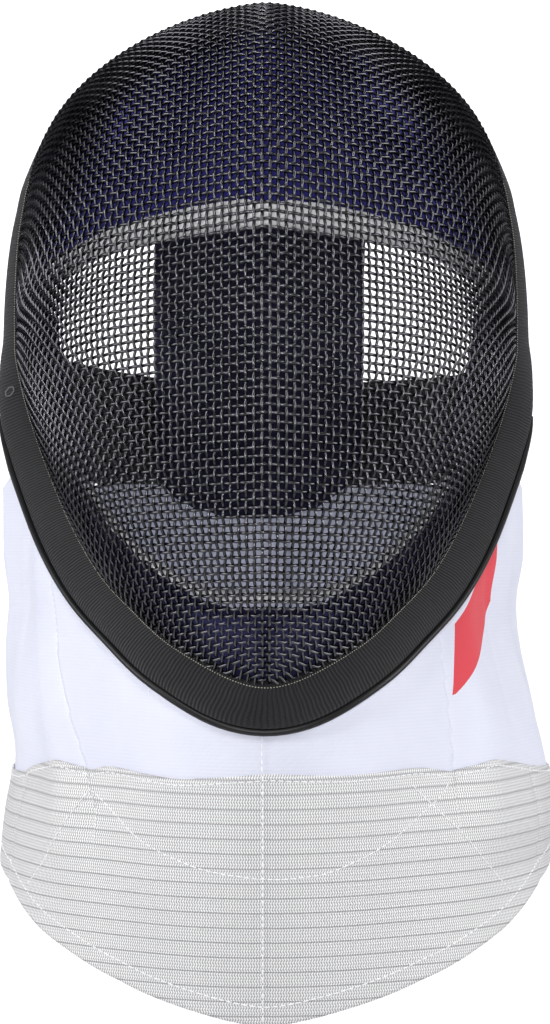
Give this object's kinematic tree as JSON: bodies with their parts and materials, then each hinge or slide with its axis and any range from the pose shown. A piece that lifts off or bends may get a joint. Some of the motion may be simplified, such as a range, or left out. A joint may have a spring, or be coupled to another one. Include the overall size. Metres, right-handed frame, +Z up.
{
  "type": "fencing mask",
  "caption": "Fencing mask: a creased wire mesh bowl in a padded trim, with a cloth throat bib, a silver lower panel, inner pads, a back tongue and an elastic strap.",
  "frame": {"origin": "where the crown of the wearer's head rests against the inside of the crown lining", "axes": "+Z up, -Y the way the face looks, +X the wearer's left; left in a node's name is the side of -X, which is left as seen from the front"},
  "size_m": [0.2434, 0.307, 0.4063],
  "materials": {
    "wire": "dark satin",
    "trim": "dark grey ribbed tape",
    "lip": "smooth coated edging",
    "lining": "navy padded jersey",
    "binding": "light grey tape",
    "elastic": "black woven elastic",
    "bib": "white tight twill",
    "lame": "silver ribbed cloth woven with metal"
  },
  "bodies": {
    "root": {"mesh_bowl": "wire", "trim_band": "trim", "trim_piping": "lip", "crown_lining": "lining", "side_lining_left": "lining", "side_lining_right": "lining", "chin_lining": "lining", "binding_upper": "binding", "binding_lower": "binding", "tongue": "lining", "back_strap": "elastic", "bib_cloth": "bib", "bib_lame": "lame"}
  },
  "joints": []
}
